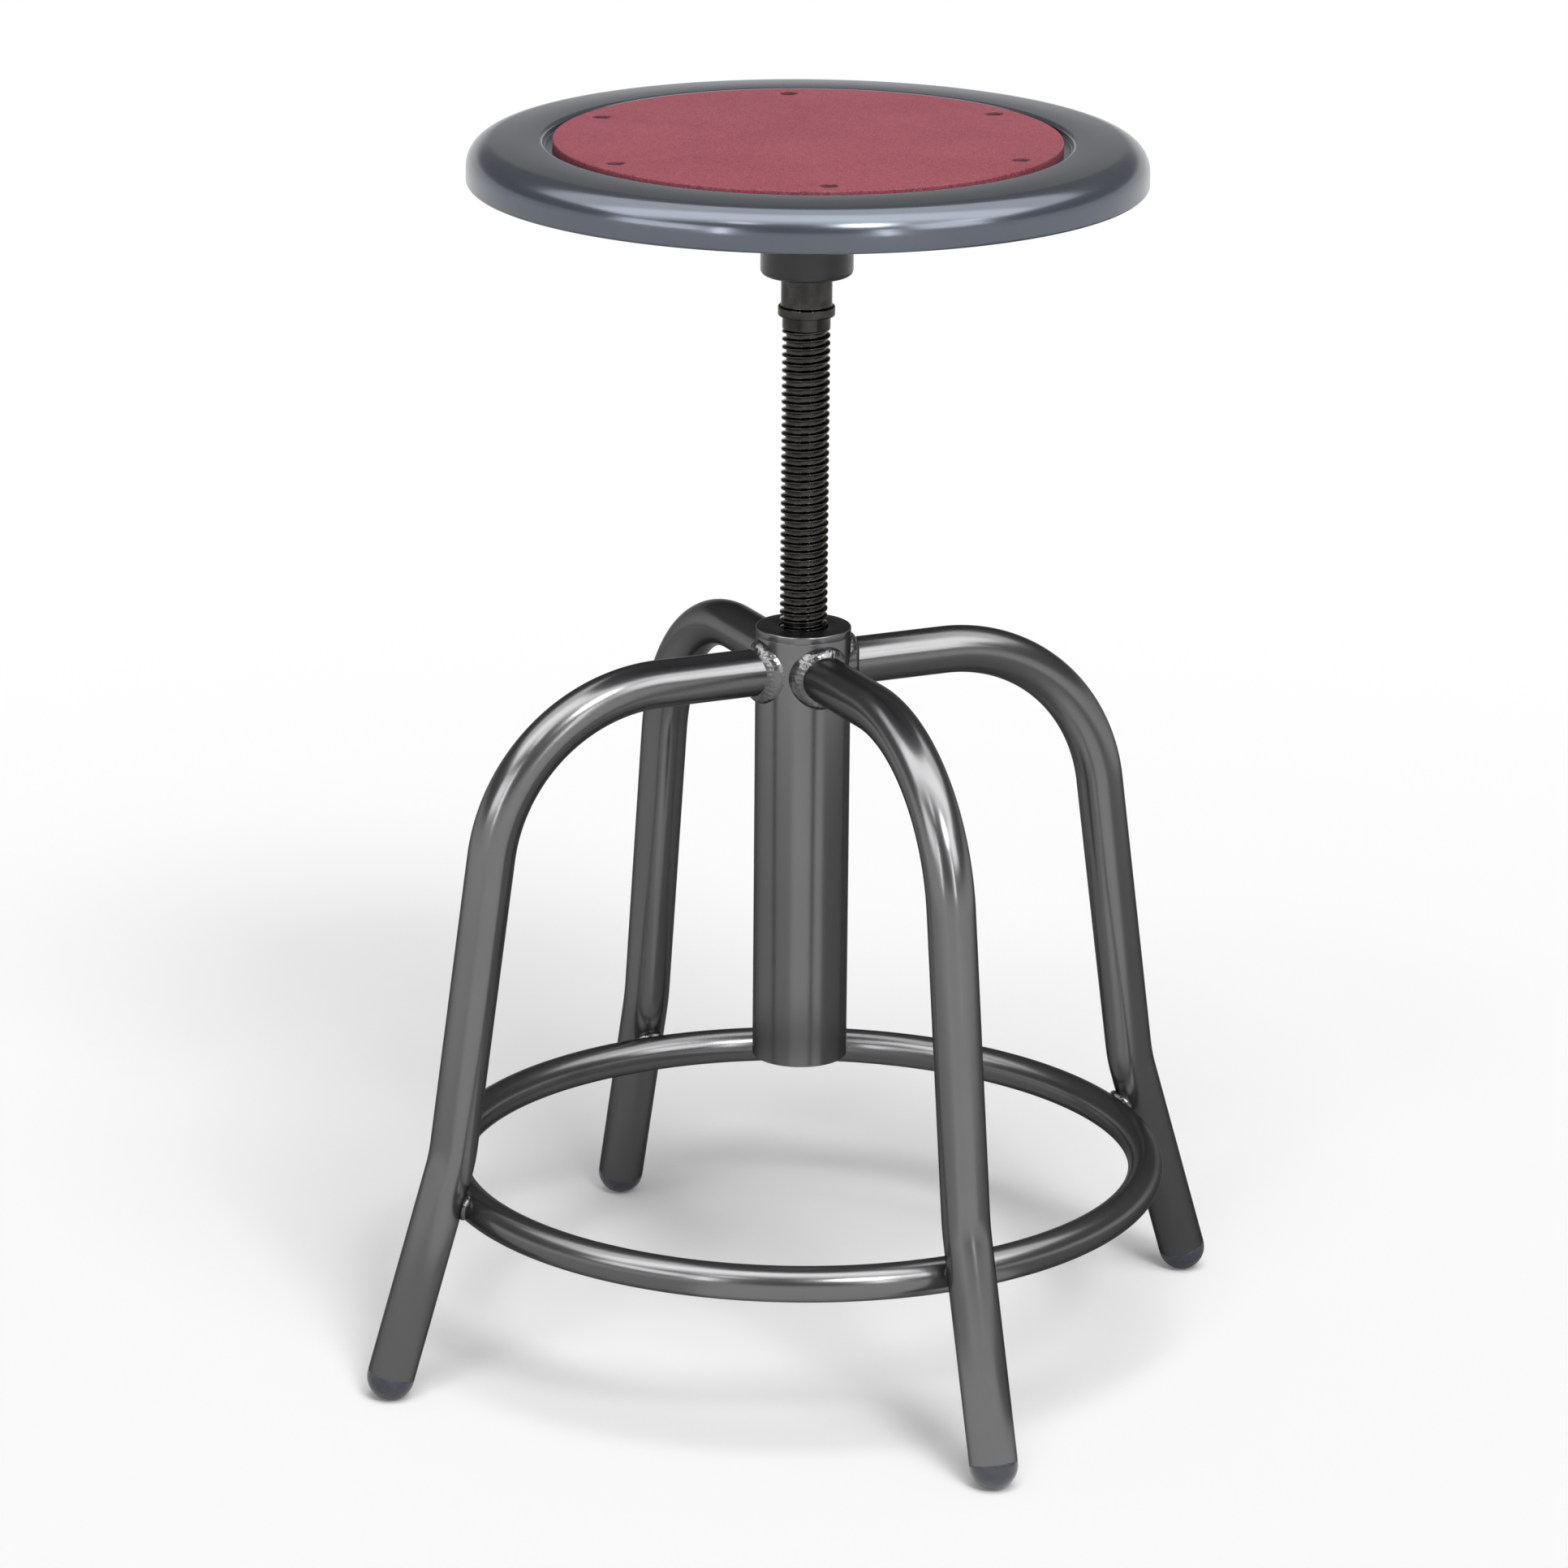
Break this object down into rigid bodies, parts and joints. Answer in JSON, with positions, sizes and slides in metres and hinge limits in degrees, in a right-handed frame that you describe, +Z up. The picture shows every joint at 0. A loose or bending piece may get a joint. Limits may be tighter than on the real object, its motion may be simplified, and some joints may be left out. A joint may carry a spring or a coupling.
{
  "type": "height-adjustable swivel stool",
  "caption": "Backless swivel work stool: round steel seat pan with a riveted hardboard panel, threaded lift screw, four bent tube legs with a foot ring and dome glides.",
  "frame": {"origin": "on the floor, under the middle of the column", "axes": "+Z up along the column and screw, -Y towards the front; the four legs lie on the diagonals between X and Y"},
  "size_m": [0.3965, 0.3966, 0.6641],
  "materials": {
    "frame_paint": "gloss",
    "pan_paint": "gloss",
    "screw_black": "gloss",
    "hub_black": "satin",
    "steel": "satin",
    "bronze": "satin",
    "seal_rubber": "matte",
    "hardboard": "satin",
    "glide_nylon": "gloss"
  },
  "bodies": {
    "base": {"column_tube": "frame_paint", "column_nut": "frame_paint", "column_leg_welds": "frame_paint", "leg_front_left": "frame_paint", "leg_front_right": "frame_paint", "leg_rear_left": "frame_paint", "leg_rear_right": "frame_paint", "foot_ring": "frame_paint", "ring_welds": "frame_paint", "glide_front_left": "glide_nylon", "glide_front_right": "glide_nylon", "glide_rear_left": "glide_nylon", "glide_rear_right": "glide_nylon"},
    "carriage": {"bearing_cage": "steel", "bearing_balls": "steel"},
    "screw": {"lift_screw": "screw_black", "guide_disc": "glide_nylon", "stop_washer": "steel", "stop_bolt": "steel", "lower_race": "steel", "retaining_ring": "steel"},
    "seat": {"hub_housing": "hub_black", "hub_weld": "hub_black", "hub_bushing": "bronze", "upper_race": "steel", "dust_seal": "seal_rubber", "thrust_washer": "steel", "seat_plate": "hub_black", "seat_pan": "pan_paint", "pan_studs": "steel", "stud_washers": "steel", "stud_nuts": "steel", "seat_panel": "hardboard", "panel_rivets": "steel", "rivet_washers": "steel"}
  },
  "joints": [
    {"name": "screw_lift", "type": "slide", "parent": "base", "child": "carriage", "axis": [0, 0, 1], "range_m": [-0.168, 0.0165]},
    {"name": "screw_turn", "type": "hinge", "parent": "carriage", "child": "screw", "pos_m": [0, 0, 0], "axis": [0, 0, 1], "range_deg": [-14287, 1404]},
    {"name": "seat_swivel", "type": "hinge", "parent": "carriage", "child": "seat", "pos_m": [0, 0, 0], "axis": [0, 0, 1], "continuous": true}
  ],
  "couplings": [
    {"joint": "screw_turn", "follows": "screw_lift", "rad_per_m": 1484.2}
  ]
}
